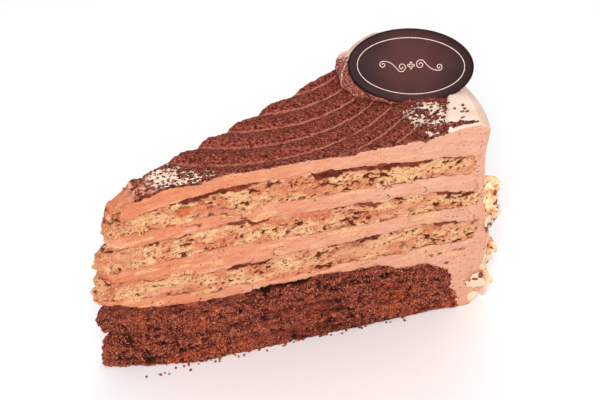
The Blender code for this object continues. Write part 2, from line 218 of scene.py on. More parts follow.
def layer_rings(low, high, nose_x, step, relief, undercut=0.0):
    """Closed rings from the middle of a layer's underside, up its wall, to the middle of its top. The wall
    is blended between the two boundaries and pushed out or in, square to the outline, by the relief."""
    u, t = trip_round(step)
    rows = int((high(*MIDWAY) - low(*MIDWAY)) / step) + 1
    v = np.linspace(0, 1, rows)[:, None]
    z = (low(*MIDWAY) * (1 - v) + high(*MIDWAY) * v) + 0 * u
    for _ in range(3):
        x, y = plan(u, t, z, nose_x + undercut * (1 - v), coat_reach(z) + UNDER_COAT)
        z = low(x, y) * (1 - v) + high(x, y) * v
    ahead = np.roll(x, -2, 1) - np.roll(x, 2, 1), np.roll(y, -2, 1) - np.roll(y, 2, 1)
    length = np.hypot(*ahead)
    push, marks = relief(xyz(x, y, z), v)
    off_rim = rise(1 - u + 0 * v, 0.004, 0.03)
    push = push * off_rim - 0.5 * (1 - off_rim)
    wall = xyz(x - ahead[1] / length * push, y + ahead[0] / length * push, z)

    def lid(edge, height, shares):
        """Rings over one end: shares of the way from the slice's middle to the edge, at the boundary."""
        flat = np.array(SLICE_MIDDLE) + (edge[:, :2] - SLICE_MIDDLE) * np.array(shares)[:, None, None]
        return raised(flat, height(flat[..., 0], flat[..., 1]))

    shares = (0.1, 0.35, 0.7, 0.93, 0.985)
    rings = np.concatenate([lid(wall[0], low, shares), wall, lid(wall[-1], high, shares[::-1])])
    wall_rows = np.arange(len(rings)) - len(shares)
    wall_rows = np.where((wall_rows < 0) | (wall_rows >= rows), rows // 2, wall_rows)
    return rings, {key: value[wall_rows] for key, value in marks.items()}


def add_piece(name, points, quads, triangles, look, marks, replaced):
    """One mesh object from points in mm, quads and triangles, turned so that its faces point outwards: a
    volume below 0, summed from triple products of the quads' corners, shows that they point inwards."""
    first, *others = (points[quads[:, i]] for i in range(4))
    volume = sum(np.einsum("ij,ij->", first, np.cross(others[i], others[i + 1])) for i in (0, 1))
    if volume < 0:
        quads, triangles = quads[:, ::-1], triangles[:, ::-1]
    mesh = bpy.data.meshes.new(name)
    mesh.vertices.add(len(points))
    placed = np.clip((points + TIP_PLACE) * MM, cad_box[0], cad_box[1])
    mesh.vertices.foreach_set("co", placed.astype(np.float32).ravel())
    mesh.loops.add(quads.size + triangles.size)
    corners = np.concatenate([quads.ravel(), triangles.ravel()])
    mesh.loops.foreach_set("vertex_index", corners.astype(np.int32))
    sizes = np.repeat([4, 3], [len(quads), len(triangles)])
    mesh.polygons.add(len(sizes))
    mesh.polygons.foreach_set("loop_start", (np.cumsum(sizes) - sizes).astype(np.int32))
    mesh.polygons.foreach_set("use_smooth", np.ones(len(sizes), bool))
    for key, values in marks.items():
        mark = mesh.attributes.new(key, "FLOAT", "POINT")
        mark.data.foreach_set("value", np.asarray(values, np.float32).ravel())
    mesh.update(calc_edges=True)
    mesh.materials.append(look)
    piece = bpy.data.objects.new(name, mesh)
    bpy.context.scene.collection.objects.link(piece)
    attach(piece, "root")
    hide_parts(*replaced)


def add_rings(name, rings, look, marks, replaced, slot, looped=False):
    """Closed skins through rings of points, (bodies, rings, round, 3): quads from ring to ring and a fan to
    a middle point at each end, or, where looped, quads from the last ring back to the first."""
    rings = rings.reshape(-1, *rings.shape[-3:])
    bodies, rows, columns = rings.shape[:3]
    marks = {key: np.broadcast_to(value, rings.shape[:3]) for key, value in marks.items()}
    here = np.arange(bodies * rows * columns).reshape(bodies, rows, columns)
    after = np.roll(here, -1, 2)
    if looped:
        there, beyond = np.roll(here, -1, 1), np.roll(after, -1, 1)
        quads = np.stack([here, after, beyond, there], -1).reshape(-1, 4)
        add_piece(name, rings.reshape(-1, 3), quads, quads[:0, :3], look, marks, replaced)
        return
    quads = np.stack([here[:, :-1], after[:, :-1], after[:, 1:], here[:, 1:]], -1).reshape(-1, 4)
    ends = rings[:, [0, -1]].mean(2)
    points = np.concatenate([rings.reshape(-1, 3), ends.reshape(-1, 3)])
    marks = {key: np.concatenate([value.ravel(), value[:, [0, -1]].mean(2).ravel()])
             for key, value in marks.items()}
    middle = (here.size + 2 * np.arange(bodies))[:, None] + 0 * here[:, 0]
    triangles = np.concatenate([xyz(after[:, 0], here[:, 0], middle).reshape(-1, 3),
                                xyz(here[:, -1], after[:, -1], middle + 1).reshape(-1, 3)])
    add_piece(name, points, quads, triangles, look, marks, replaced)


def feed(socket, value):
    """Links a Paint to a node's input, or sets the input to a fixed value."""
    if isinstance(value, Paint):
        value.tree.links.new(value.socket, socket)
    else:
        socket.default_value = value


def colour(red, green, blue):
    """A colour as it is seen on a screen, 0 to 255, as the linear light that a shader takes."""
    seen = np.array([red, green, blue]) / 255
    light = np.where(seen <= 0.04045, seen / 12.92, ((seen + 0.055) / 1.055) ** 2.4)
    return (*light.tolist(), 1.0)


class Paint:
    """One output of a shader node. Each sum, difference, product or quotient of it is a Math node."""

    def __init__(self, tree, socket):
        """Keeps the node tree and the output."""
        self.tree, self.socket = tree, socket

    def node(self, kind, settings, sockets, output=0):
        """Adds a node of this type, sets its settings, then its sockets, and gives one of its outputs."""
        made = self.tree.nodes.new(kind)
        for key, value in settings.items():
            setattr(made, key, value)
        for key, value in sockets.items():
            feed(made.inputs[key], value)
        return Paint(self.tree, made.outputs[output])

    def math(self, operation, *values):
        """The result of this operation on numbers."""
        return self.node("ShaderNodeMath", {"operation": operation}, dict(enumerate(values)))

    def vector(self, operation, *values, output=0):
        """The result of this operation on places; output 1 is a distance."""
        return self.node("ShaderNodeVectorMath", {"operation": operation}, dict(enumerate(values)), output)

    def __add__(self, other):
        return self.math("ADD", self, other)

    def __sub__(self, other):
        return self.math("SUBTRACT", self, other)

    def __rsub__(self, other):
        return self.math("SUBTRACT", other, self)

    def __mul__(self, other):
        return self.math("MULTIPLY", self, other)

    def __truediv__(self, other):
        return self.math("DIVIDE", self, other)

    def rise(self, low, high):
        """A smooth step from 0 at low to 1 at high, which may be the smaller of the two."""
        if low > high:
            return 1 - self.rise(high, low)
        return self.node("ShaderNodeMapRange", {"interpolation_type": "SMOOTHSTEP"},
                         {"Value": self, "From Min": low, "From Max": high})

    def mix(self, *tones):
        """Blends two colours, this value being the share of the second."""
        first, second = (tone if isinstance(tone, Paint) else colour(*tone) for tone in tones)
        return self.node("ShaderNodeMix", {"data_type": "RGBA"}, {0: self, 6: first, 7: second}, 2)

    def mark(self, name):
        """An attribute of the mesh, by name."""
        return self.node("ShaderNodeAttribute", {"attribute_name": name}, {}, 2)

    def squeezed(self, along, across=None, up=1):
        """The place divided by a size for each axis, so that a pattern on it is stretched. One size serves
        for both level axes where only one is given."""
        return self.vector("DIVIDE", self, (along, across or along, up))

    def turned(self, angle):
        """The place turned about the upright axis."""
        sockets = {"Vector": self, "Angle": angle}
        return self.node("ShaderNodeVectorRotate", {"rotation_type": "Z_AXIS"}, sockets)

    def bent(self, size, amount):
        """The place moved about by noise of this size, by about this amount in mm."""
        sockets = {"Vector": self, "Scale": 1 / size, "Detail": 1.0}
        wander = self.node("ShaderNodeTexNoise", {}, sockets, 1)
        wander = wander.vector("SUBTRACT", wander, (0.5, 0.5, 0.5))
        return wander.vector("ADD", self, wander.vector("MULTIPLY", wander, (2 * amount,) * 3))

    def grain(self, size, detail=2.0, roughness=0.5):
        """Noise from 0 to 1 at this place, with features of about this size in mm."""
        sockets = {"Vector": self, "Scale": 1 / size, "Detail": detail, "Roughness": roughness}
        return self.node("ShaderNodeTexNoise", {}, sockets)

    def spots(self, size):
        """The distance from this place to the nearest of scattered points, in cells of this size."""
        return self.node("ShaderNodeTexVoronoi", {}, {"Vector": self, "Scale": 1 / size})


def overlaid(base, *coats):
    """A colour with others laid over it in turn, each in its own share."""
    for share, tone in coats:
        base = share.mix(base, tone)
    return base


def new_look(name):
    """A node material, and the place on the slice in mm as a Paint."""
    look = bpy.data.materials.new(name)
    look.use_nodes = True
    start = Paint(look.node_tree, look.node_tree.nodes.new("ShaderNodeTexCoord").outputs["Object"])
    sockets = {"Vector": start, "Scale": (1 / MM,) * 3, "Location": tuple(-TIP_PLACE)}
    return look, start.node("ShaderNodeMapping", {}, sockets)


def finish_look(look, base, roughness, bump, depth, gloss=0.3):
    """Gives the look's shader its colour, roughness and gloss, and a bump of this depth in mm."""
    normal = bump.node("ShaderNodeBump", {}, {"Strength": 1.0, "Distance": depth * MM, "Height": bump})
    sockets = {"Base Color": base, "Roughness": roughness, "Specular IOR Level": gloss, "Normal": normal}
    for name, value in sockets.items():
        feed(look.node_tree.nodes["Principled BSDF"].inputs[name], value)
    return look


def crumb(points, coarse, seed):
    """Torn crumb, in mm from its mean: clumps of balls in two sizes with creases between them."""
    warped = bent(points, 1.8, 0.5, seed)
    large = balls(warped, (coarse, coarse, 0.8 * coarse), 1, (0.45, 0.85), seed + 5)
    small = balls(warped, 0.42 * coarse, 1, (0.4, 0.8), seed + 15)
    return 0.55 * large + 0.5 * small - 0.19 * coarse


def gashes(points, size, seed):
    """Where the crumb tore, 0 to 1: long thin openings that lie along the layers, in clusters."""
    warped = bent(points, 1.4, 0.5, seed)
    cluster = 0.3 * noise(points, (9, 9, 4), seed + 3)
    return rise(noise(warped, size, seed + 5, 2) + cluster, 0.26, 0.46)


def dark_crumb(points, v):
    """Coarse crumb with gashes and a few round holes, smoother in a band at the left, ragged and notched
    at the tip, and broken in a crack under the cream in the middle of the front cut."""
    x, z = points[..., 0], points[..., 2]
    smooth = rise(noise(points, (26, 26, 5), 23, 2) + 0.5 * rise(z, 20, 22) * rise(x, 48, 30), 0.15, 0.6)
    holes = balls(bent(points, 2.2, 0.7, 13), (4.5, 4.5, 3.0), 0.35, (0.12, 0.3), 11) * 1.5
    torn = gashes(points, (2.4, 2.4, 0.9), 14)
    grain = (crumb(points, 1.5, 1) + 0.22 * noise(points, 0.7, 3)) * (1 - 0.5 * smooth)
    lumps = 0.45 * noise(points, (7, 7, 2.6), 31, 2)
    ragged = 1.9 * noise(points, (5, 5, 3.0), 5) + 1.1 * noise(points, 2.1, 6) - 0.9
    notch_at = NOTCH_HEIGHT + 0.8 * noise(points * (1, 1, 0), 3, 27)
    notch = 7.5 * np.exp(-((z - notch_at) / 1.3) ** 2) + 1.6 * rise(z, 22.5, 24.5)
    crack = rise(v, 0.84, 0.96) * rise(x, 34, 44) * rise(x, 74, 62)
    crack = crack * rise(noise(points, (8, 8, 3), 41), -0.3, 0.2)
    edge = 0.5 * rise(v, 0.95, 1) + 0.5 * rise(1 - v, 0.97, 1)
    push = grain + lumps - holes - 0.7 * torn - edge - 1.5 * crack
    push = push + fading(x, TIP_X, 8) * ragged - fading(x, TIP_X, 5) * notch
    # Marks for painted light and shade: the crumb's relief, which the look paints lighter on crests and
    # darker in creases, and how deep a point lies in a hole, gash or crack, which it paints near black as
    # shade.
    marks = {"crest_shading": 0.5 + 1.2 * grain + 0.2 * lumps, "smooth": smooth,
             "hollow_shade": np.clip(holes + 0.7 * torn + crack, 0, 1)}
    return push, marks


def dark_sponge_look():
    """Reddish brown crumb, redder in places and duller in smooth bands along the layer, with painted light
    and
    shade: lighter on the crests of its grains with small pinkish painted highlights, darker in its creases,
    and near black as painted shade in its holes, gashes and cracks."""
    look, place = new_look("dark_sponge")
    streaks = place.squeezed(2.8).grain(2.6, 3)
    redness = place.squeezed(1.5).grain(9)
    grains = place.bent(0.8, 0.3).grain(0.5, 3, 0.7)
    fine = place.grain(0.25)
    smooth = place.mark("smooth")
    crest_shading = place.mark("crest_shading") * 0.45 + 0.275 + (grains - 0.5) * 3.2 * (1 - smooth * 0.55)
    gloom = place.squeezed(2.4).bent(1.5, 0.6).grain(2.6, 3, 0.6)
    clumps = place.squeezed(1.7).bent(1.2, 0.5).grain(1.5, 3, 0.6)
    hollow_shade = place.mark("hollow_shade") + (grains - 0.5) * 0.8
    base = overlaid(
        streaks.rise(0.38, 0.62).mix((92, 32, 20), (150, 68, 50)),
        (redness.rise(0.48, 0.64), (158, 60, 28)),
        (smooth * 0.6, (112, 48, 40)),
        (gloom.rise(0.47, 0.38) * 0.8, (60, 18, 12)),
        (clumps.rise(0.53, 0.66) * 0.5, (180, 92, 68)),
        (clumps.rise(0.46, 0.34) * 0.6, (58, 16, 10)),
        # Painted light and shade: lighter on the crests of the grains, near black in the creases, small
        # painted highlights on the crests, and painted shade in holes, gashes and cracks.
        (crest_shading.rise(0.58, 0.95), (202, 106, 76)),
        (crest_shading.rise(0.42, 0.02), (46, 12, 6)),
        (fine.rise(0.56, 0.68) * crest_shading.rise(0.55, 0.8), (232, 158, 124)),
        (hollow_shade.rise(0.25, 0.85), (40, 12, 6)))
    return finish_look(look, base, 0.85, grains + fine * 0.5, 0.45, 0.15)


base_rings, base_marks = layer_rings(floor_level, boundary("base_top"), -4.4, 0.25, dark_crumb, undercut=2.2)
base_rings[..., 2] = np.maximum(base_rings[..., 2], 0)
add_rings("dark_base", base_rings, dark_sponge_look(), base_marks, ["sponge_base"], "dark_sponge")


# Light sponges: three sheets of pale nut sponge, finer and softer than the base, with dark pores and
# brown crusts where they were baked. The knife dragged cream over parts of them.
LIGHT_NOSES = {"sponge_1": -5.6, "sponge_2": -5.2, "sponge_3": -3.4}
# Where brown crust shows under the top edge of the uppermost sponge: start, end and thickness.
CRUSTS = ((20, 40, 1.7), (60, 68, 2.6), (61, 96, 1.5), (80, 84, 2.7))
UPPERMOST = (57, 58)
PIT_X, PIT_Z = 20, 60.6


def light_crumb(points, v):
    """Crumb with gashes, most of them along its edges, levelled where cream is smeared over it in patches
    and along its edges, with brown crust along the top edge and a brown pit in the uppermost sponge."""
    x, y, z = points[..., 0], points[..., 1], points[..., 2]
    from_middle = np.abs(2 * v - 1) + 0 * x
    smear = rise(noise(points, (15, 15, 3.5), 33, 2), 0.12, 0.42)
    at_edges = 0.9 * rise(from_middle + 0.5 * noise(points, (3.5, 3.5, 2), 35, 2), 0.75, 1.05)
    smear = np.maximum(smear, at_edges)
    torn = gashes(points, (2.0, 2.0, 0.7), 44) * (1 - 0.4 * smear)
    along = points * (1, 1, 0)
    edges = rise(from_middle + 0.2 * noise(points, 1.2, 36, 2), 0.8, 0.95)
    broken = edges * rise(noise(along + 30 * rise(v, 0.49, 0.51)[..., None], 4.5, 51, 3), 0.02, 0.2)
    grain = crumb(points, 1.2, 7) * (1 - 0.6 * smear)
    lumps = 0.35 * noise(points, (5, 5, 2.2), 8, 2)
    ragged = 1.4 * noise(points, (4, 4, 2.4), 15) + 1.3 * noise(points, 1.5, 16, 2) - 0.5
    uppermost = rise(z, *UPPERMOST)
    crusts = np.max([thickness * rise(x, start - 2, start + 1) * rise(x, end + 2, end - 1)
                     for start, end, thickness in CRUSTS], 0)
    others = 1.3 * rise(noise(along, 13, 57), 0.25, 0.5) * rise(x, 6, 12) * (1 - 0.7 * uppermost)
    crusts = np.maximum(crusts * uppermost, others)
    below_edge = (1 - v) * (z[-1:] - z[:1])
    crust = rise(crusts + 1.3 * noise(points, (2.0, 2.0, 0.9), 58, 3) - below_edge, -0.15, 0.3)
    crust = crust * (crusts > 0.1)
    pit = np.exp(-((x - PIT_X) / 3.6) ** 2 - ((z - PIT_Z) / 2.2) ** 2) * (y < 0)
    torn = torn * (1 - rise(pit, 0.1, 0.3))
    push = 0.15 + grain * (1 - 0.5 * crust) + lumps - 0.9 * torn - 0.8 * broken - 1.5 * pit
    push = push + fading(x, TIP_X, 6) * ragged
    # Marks for painted light and shade: the crumb's relief, painted paler on crests and darker in creases,
    # and how deep a point lies in a gash or broken edge, painted dark as shade.
    marks = {"crest_shading": 0.5 + 1.5 * grain + 0.2 * lumps, "smear": smear * (1 - crust) * (1 - pit),
             "hollow_shade": np.clip(0.9 * torn + broken, 0, 1), "crust": crust, "pit": pit}
    return push, marks


def light_sponge_look():
    """Yellow-beige crumb with orange patches, brown crusts and salmon cream smeared over it, with painted
    light
    and shade: paler on the crumb's crests, darker in its creases, dark spots painted as the shade in small
    pores, and painted shade in its gashes."""
    look, place = new_look("light_sponge")
    patches = place.squeezed(1.9).grain(4.5)
    brown = place.squeezed(1.6).grain(2.6, 3)
    grains = place.bent(0.8, 0.3).grain(0.5, 3, 0.7)
    fine = place.grain(0.25)
    smear = place.mark("smear")
    crest_shading = place.mark("crest_shading") * 0.4 + 0.3 + (grains - 0.5) * 1.6
    cluster = place.squeezed(1.8).grain(2.8).rise(0.36, 0.5) * (1 - smear * 0.5)
    pore_shade = place.squeezed(1.5, up=0.9).bent(0.9, 0.5).spots(1.25).rise(0.36, 0.2)
    in_pit = (place.mark("pit") + (grains - 0.5) * 1.2).rise(0.25, 0.75)
    base = overlaid(
        patches.rise(0.4, 0.62).mix((228, 176, 128), (206, 122, 82)),
        # Painted light and shade: paler on the crumb's crests and darker in its creases.
        (crest_shading.rise(0.55, 0.9), (242, 204, 170)),
        (crest_shading.rise(0.4, 0.1), (164, 92, 56)),
        (smear * 0.8, patches.rise(0.4, 0.6).mix((218, 148, 116), (202, 124, 92))),
        # Painted shade: dark spots for the shade in small pores.
        (pore_shade * cluster * 0.9, (116, 54, 28)),
        (fine.rise(0.58, 0.72) * 0.7, (150, 84, 54)),
        (in_pit * 0.95, brown.rise(0.4, 0.6).mix((142, 62, 28), (198, 108, 58))),
        (place.mark("crust"), brown.rise(0.35, 0.7).mix((88, 28, 16), (146, 66, 42))),
        # Painted shade in the gashes and broken edges.
        (place.mark("hollow_shade").rise(0.25, 0.8), (104, 42, 20)))
    return finish_look(look, base, 0.8, grains + fine * 0.4, 0.3, 0.2)


light_look = light_sponge_look()
light_walls = []
for node, nose_x in LIGHT_NOSES.items():
    low, high = boundary(node + "_bottom"), boundary(node + "_top")
    rings, marks = layer_rings(low, high, nose_x, 0.23, light_crumb)
    light_walls.append(rings.reshape(-1, 3))
    add_rings("light_" + node, rings, light_look, marks, [node], "light_sponge")


# Fillings: three bands of the same chocolate cream, spread while soft. The knife drew them out in fine
# lines along the layers, carrying a few crumbs, and they run into the coat at the rim.
FILLINGS = {
    "filling_1": ("base_top", "sponge_1_bottom", -4.8),
    "filling_2": ("sponge_1_top", "sponge_2_bottom", -3.8),
    "filling_3": ("sponge_2_top", "sponge_3_bottom", -2.2),
}
SPLIT_HEIGHT = 24.6


def drawn(points):
    """The cut face of cream, in mm: long low waves along the layers, with finer lines among them."""
    return 0.24 * noise(points, (11, 11, 2.2), 61, 2) + 0.1 * noise(points, (3.5, 3.5, 0.8), 62)


def filling_relief(points, v):
    """Cream bulges a little between the sponges, torn at the tip, with crumb dragged over it in patches,
    hairline cracks in it, and one split in the thick cream at the rim."""
    x = points[..., 0]
    ragged = 0.9 * noise(points, (3, 3, 2), 25) + 0.9 * noise(points, 1.3, 26, 2) - 0.4
    along = points * (1, 1, 0.4)
    crack = rise(np.abs(noise(bent(points, 3, 0.8, 67), (9, 9, 2.2), 63, 2)), 0.035, 0.012)
    crack = crack * rise(noise(along, 7, 64, 2), 0.0, 0.3)
    from_split = np.abs(points[..., 2] - SPLIT_HEIGHT - 0.6 * noise(along, 6, 68, 2))
    split = rise(from_split, 0.4, 0.15) * rise(x, 92, 97) * rise(x, 114, 111)
    crack = np.maximum(crack, split * rise(noise(along, 5, 70), -0.5, -0.2))
    dragged = rise(noise(points, (9, 9, 1.8), 65, 2), 0.22, 0.45)
    push = 0.1 + 0.2 * np.sin(math.pi * v) + drawn(points) + fading(x, TIP_X, 5) * ragged - 0.35 * crack
    push = push + dragged * (0.15 + 0.6 * crumb(points, 1.0, 69))
    return push, {"crack": crack, "dragged": dragged}


def cream_colour(place):
    """Salmon cream, more orange at the tip and pinker at the rim, in soft shades, with brown crumbs. Its
    drawn lines and the distance from the tip are given back with it."""
    x = place.node("ShaderNodeSeparateXYZ", {}, {"Vector": place})
    lines = place.squeezed(4).bent(3, 0.8).grain(0.9, 3)
    soft = place.squeezed(2.4).grain(3.5, 3)
    grains = place.grain(0.45, 3, 0.65)
    specks = place.squeezed(2, up=0.8).bent(0.7, 0.3).spots(1.2).rise(0.2, 0.1)
    specks = specks * (place.grain(4) + x.rise(96, 112) * 0.13).rise(0.48, 0.6)
    base = overlaid(
        (x / 110 + soft * 0.9 - 0.45).rise(0.0, 1.0).mix((204, 122, 84), (212, 156, 130)),
        (lines.rise(0.52, 0.74) * 0.4, (184, 104, 76)),
        (lines.rise(0.46, 0.3) * 0.25, (234, 180, 150)),
        (soft.rise(0.55, 0.75) * 0.5, (230, 172, 142)),
        (grains.rise(0.46, 0.25) * 0.65, (160, 90, 64)),
        (grains.rise(0.55, 0.75) * 0.55, (242, 192, 162)),
        (specks, (122, 60, 40)))
    return base, lines + grains * 0.5, x


def cream_look():
    """The fillings' cream: as cream_colour, brown in its cracks as painted shade, with pale crumb where it
    is dragged.
    """
    look, place = new_look("cream_filling")
    cream, lines, _ = cream_colour(place)
    grains = place.bent(0.8, 0.3).grain(0.6, 3, 0.7)
    crumbs = grains.rise(0.4, 0.6).mix((206, 136, 92), (240, 190, 142))
    base = overlaid(
        cream,
        (place.mark("dragged") * 0.75, crumbs),
        # Painted shade: brown in the hairline cracks and the split.
        (place.mark("crack").rise(0.3, 0.9), (128, 66, 42)))
    return finish_look(look, base, 0.6, lines * 0.5, 0.25, 0.25)


filling_look = cream_look()
for node, (low_name, high_name, nose_x) in FILLINGS.items():
    rings, marks = layer_rings(boundary(low_name), boundary(high_name), nose_x, 0.27, filling_relief)
    add_rings("cream_" + node, rings, filling_look, marks, [node], "cream_filling")


# Cream coat: one coat of chocolate cream over the top and down the rim. Its top was combed into curved
# ridges, leaving a smooth band along the rim, and then dusted with cocoa through a sieve.
COAT_NOSE_X = -2.4
LIP_REACH = 115.4
# The coat's outer face at the rim: heights, and how far along the cuts it reaches there.
COAT_OUTSIDE = ((0, 118.0), (3, 121.2), (16, 122.2), (30, 123.0), (38, 121.8), (46, 119.2), (62, 118.2),
                (69, 119.2), (71.8, 118.6), (73, 116.6))
COAT_OUTSIDE_TOP = 72.9
LIP_AT = 0.62
INNER_LIP_AT = 0.6
INNER_RIM_AT = 0.58
INNER_RIM_X = 110.0
INNER_DOWN_AT = 0.66
TIP_DROP = 8
RIM_RISE = 1.5
BAND_RISE = 0.8
COMB_PIVOT = (91, 46)
COMB_SPACING = 6.5
COMB_DRIFT = 15.9
COMB_FIRST = 14.6
COMB_DEPTH = 2.0
COMB_SLANT = 0.6
COMB_MIDDLE = 0.55
ROSETTE_CENTRE = (104.6, 11.3)
BAND_CORNER = (107.3, -16.5)
BAND_ACROSS = (0.766, -0.643)
BAND_BACK_X = 111.6
BAND_BOW = 0.012
BAND_BOW_Y = 4
STREAK_START = (101.7, -22.3)
STREAK_RUN = (10.1, -3.2)
FLECKED_PATCH = (102.0, -13.2)
BARE_SPOT = (17, 1.5)
COCOA_DRIFT = math.radians(-33)


def inside_band(x, y):
    """The distance in mm beyond the inner edge of the rim's smooth band: straight near the front cut, and
    parallel to the rim behind."""
    slanting = (x - BAND_CORNER[0]) * BAND_ACROSS[0] + (y - BAND_CORNER[1]) * BAND_ACROSS[1]
    return np.minimum(slanting, x - BAND_BACK_X + BAND_BOW * (y - BAND_BOW_Y) ** 2)


def past_cut(x, y):
    """The distance in mm beyond the front cut, in y; negative on the slice."""
    return -y - x * CUT_SLOPE


def from_rosette(x, y):
    """The distance in plan from the rosette's middle."""
    return np.hypot(x - ROSETTE_CENTRE[0], y - ROSETTE_CENTRE[1])


def cocoa_cover(x, y):
    """The share of the top that cocoa covers: flecks near the tip, thickening to a full cover, thin in one
    patch near the rim and along the front cut there, and none on the rim's band but for one streak."""
    points = xyz(x, y, 0)
    across = x + 0.85 * y
    thick = 0.36 + 0.2 * rise(across, 14, 22) + 0.5 * rise(across, 24, 31)
    bare_spot = 0.4 * np.exp(-((x - BARE_SPOT[0]) / 3.5) ** 2 - ((y - BARE_SPOT[1]) / 2.5) ** 2)
    thin_patch = np.exp(-(((x - FLECKED_PATCH[0]) / 7.5) ** 2 + ((y - FLECKED_PATCH[1]) / 7.0) ** 2) ** 2)
    bare_edge = rise(x, 95, 98) * rise(past_cut(x, y), -3.8, -2.6)
    cover = thick - bare_spot - 0.95 * thin_patch - 0.95 * bare_edge - 0.5 * rise(x, 8, 4)
    cover = cover * (1 - rise(inside_band(x, y), -0.3, 0.5))
    run_x, run_y = STREAK_RUN
    own_x, own_y = x - STREAK_START[0], y - STREAK_START[1]
    along = np.clip((own_x * run_x + own_y * run_y) / (run_x ** 2 + run_y ** 2), 0, 1)
    from_streak = np.hypot(own_x - run_x * along, own_y - run_y * along)
    streak = 0.75 * rise(1.5 - 0.7 * along + 0.5 * noise(points, 1.5, 72) - from_streak, -0.4, 0.6)
    return cover + streak + 0.06 * noise(points, 4, 71)


def top_form(x, y):
    """The combed top, in mm: level, down to the tip, up to the rim, with scalloped ridges and a sharp burr
    of cream in each valley. The ridges are counted by the distance from the comb's pivot, less a share of
    x, so that they open out."""
    level = CAKE_HEIGHT - TIP_DROP * fading(x, COAT_NOSE_X, 5.5)
    level = level + RIM_RISE * rise(x, 98, 108) + BAND_RISE * rise(inside_band(x, y), -0.2, 0.7)
    from_pivot = np.hypot(x - COMB_PIVOT[0], y - COMB_PIVOT[1])
    turns = COMB_FIRST - from_pivot / COMB_SPACING - x / COMB_DRIFT
    part = turns - np.floor(turns)
    strength = rise(x, 14, 30) * (1 - rise(x, 100, 107)) * rise(from_rosette(x, y), 13, 18)
    strength = strength * (1 - 0.5 * rise(x, 40, 60) * rise(past_cut(x, y), -4, -0.5))
    ridge = np.sin(math.pi * part ** COMB_SLANT) - COMB_MIDDLE
    burr = np.exp(-(np.minimum(part, 1 - part) / 0.042) ** 2)
    return level + strength * (COMB_DEPTH * ridge + 0.2 * burr)


def rippled(points):
    """Low ripples that run sideways over the top, as cocoa drifts: noise stretched along one direction."""
    turn = np.array(Matrix.Rotation(COCOA_DRIFT, 3, "Z"))
    return noise(bent(points @ turn, 2.5, 0.7, 74), (2.0, 0.85, 2), 73, 2)


def top_height(x, y):
    """The top with its ripples and grains where cocoa lies, and torn lumps at the tip."""
    points = xyz(x, y, 0)
    cover = rise(cocoa_cover(x, y), 0.2, 0.8)
    grains = 0.36 * rippled(points) + 0.16 * noise(points, 0.8, 75, 2)
    torn = 1.0 * noise(points, 4.2, 77, 2) + 0.8 * noise(points, 1.5, 78, 2)
    return top_form(x, y) + cover * grains + fading(x, 12, 6) * torn


def smooth_profile(profile, z, width=1.6):
    """A profile's reach at height z, its corners rounded by averaging over a short stretch."""
    shifts = np.linspace(-width, width, 9)
    return np.mean([np.interp(z + shift, *np.array(profile).T) for shift in shifts], 0)


def torn_edge(z, seed):
    """How far the coat's inner edge wanders along the cut at height z, in mm: noise in two sizes."""
    along = xyz(z, 0, 0)
    return 1.1 * noise(along, 4.5, seed) + 0.8 * noise(along, 1.3, seed + 1)


